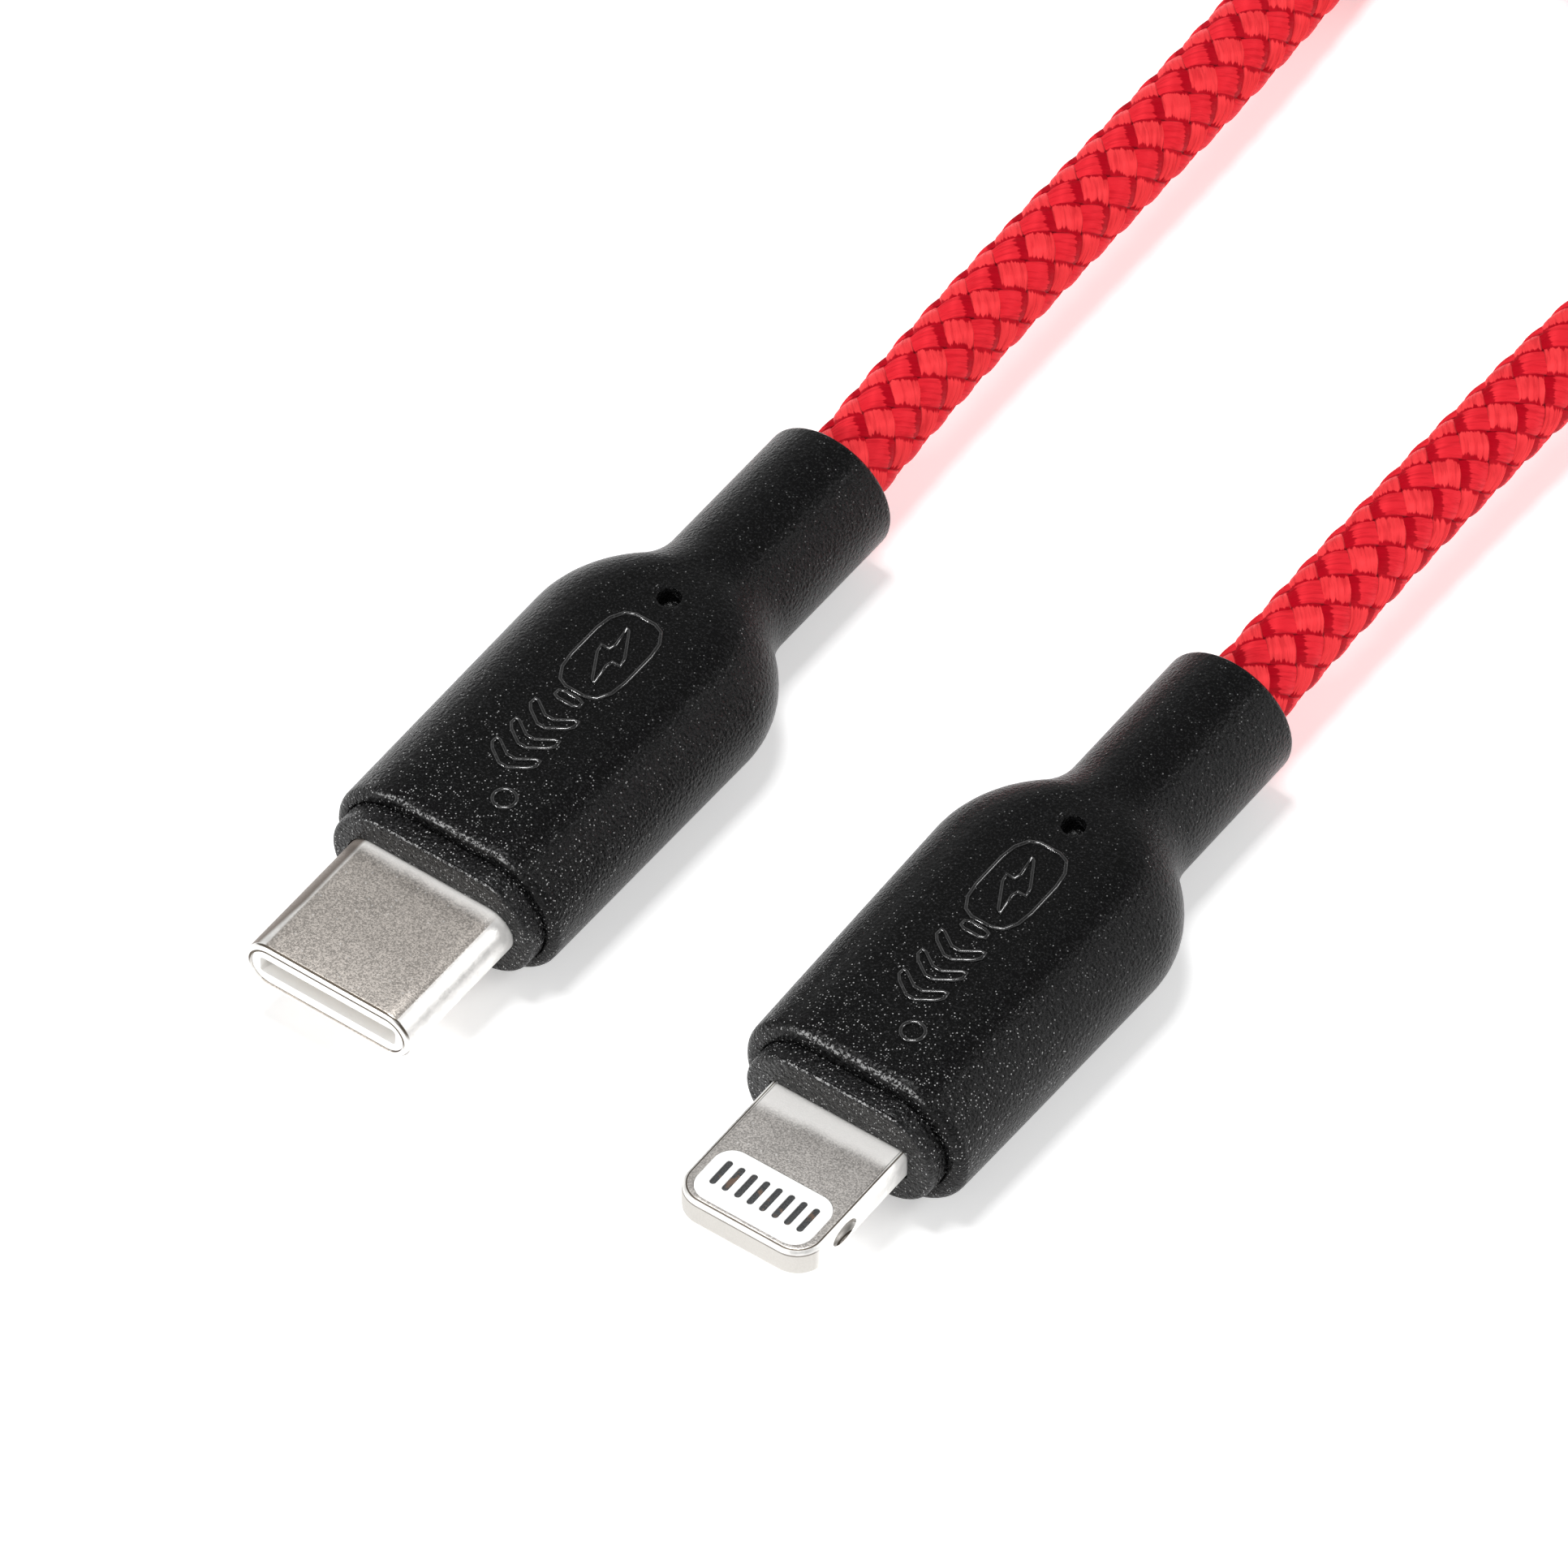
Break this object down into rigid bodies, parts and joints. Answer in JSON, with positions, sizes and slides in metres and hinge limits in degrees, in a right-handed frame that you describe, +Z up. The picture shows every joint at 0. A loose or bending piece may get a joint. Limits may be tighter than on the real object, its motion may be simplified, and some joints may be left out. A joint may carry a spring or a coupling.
{
  "type": "charging cable",
  "caption": "Charging cable with a USB-C plug and a flat reversible plug, black moulded grips, and a red braided cord folded into a tied hank.",
  "frame": {"origin": "on the surface the plugs lie on, under the middle of the two plugs", "axes": "+X from the USB-C plug to the flat plug, +Y along the plugs towards the cord, +Z up"},
  "size_m": [0.0334, 0.1737, 0.0092],
  "materials": {
    "grip_black": "fine spark-eroded grain",
    "mould_black": "fine grain, satin",
    "can_tin": "tinned",
    "board_green": "solder mask",
    "component_black": "satin",
    "crimp_brass": "satin",
    "jacket_red": "smooth matt",
    "braid_red": "satin woven yarn",
    "wire_red": "smooth",
    "wire_white": "smooth",
    "wire_black": "smooth",
    "shell_nickel": "nickel plated, finely blasted",
    "housing_white": "smooth moulded",
    "contact_gold": "gold plated",
    "spring_steel": "bright",
    "tab_nickel": "nickel plated, finely blasted",
    "insert_white": "smooth moulded",
    "contact_dark": "worn dark plating",
    "tie_black": "woven hook and loop"
  },
  "bodies": {
    "root": {"usb_c_grip": "grip_black", "usb_c_inner_mould": "mould_black", "usb_c_shield_can": "can_tin", "usb_c_circuit_board": "board_green", "usb_c_board_components": "component_black", "usb_c_crimp_ring": "crimp_brass", "usb_c_jacket_end": "jacket_red", "usb_c_braid_end": "braid_red", "usb_c_power_wire": "wire_red", "usb_c_data_wires": "wire_white", "usb_c_ground_wire": "wire_black", "eight_pin_grip": "grip_black", "eight_pin_inner_mould": "mould_black", "eight_pin_shield_can": "can_tin", "eight_pin_circuit_board": "board_green", "eight_pin_board_components": "component_black", "eight_pin_crimp_ring": "crimp_brass", "eight_pin_jacket_end": "jacket_red", "eight_pin_braid_end": "braid_red", "eight_pin_power_wire": "wire_red", "eight_pin_data_wires": "wire_white", "eight_pin_ground_wire": "wire_black", "usb_c_shell": "shell_nickel", "usb_c_contact_housing": "housing_white", "usb_c_contacts_upper": "contact_gold", "usb_c_contacts_lower": "contact_gold", "usb_c_ground_spring_upper": "spring_steel", "usb_c_ground_spring_lower": "spring_steel", "eight_pin_tab_frame": "tab_nickel", "eight_pin_contact_insert": "insert_white", "eight_pin_contacts_upper": "contact_dark", "eight_pin_contacts_lower": "contact_dark", "cord_usb_c_lead": "braid_red", "cord_eight_pin_lead": "braid_red", "cord_hank": "braid_red", "hank_tie": "tie_black"},
    "latch_left": {"usb_c_latch_left": "spring_steel"},
    "latch_right": {"usb_c_latch_right": "spring_steel"}
  },
  "joints": [
    {"name": "latch_left", "type": "hinge", "parent": "root", "child": "latch_left", "pos_m": [-0.01379, -0.01107, 0.00338], "axis": [0, 0, -1], "range_deg": [0, 2], "stiffness_Nm_per_rad": 0.02},
    {"name": "latch_right", "type": "hinge", "parent": "root", "child": "latch_right", "pos_m": [-0.00677, -0.01107, 0.00338], "axis": [0, 0, 1], "range_deg": [0, 2], "stiffness_Nm_per_rad": 0.02}
  ]
}
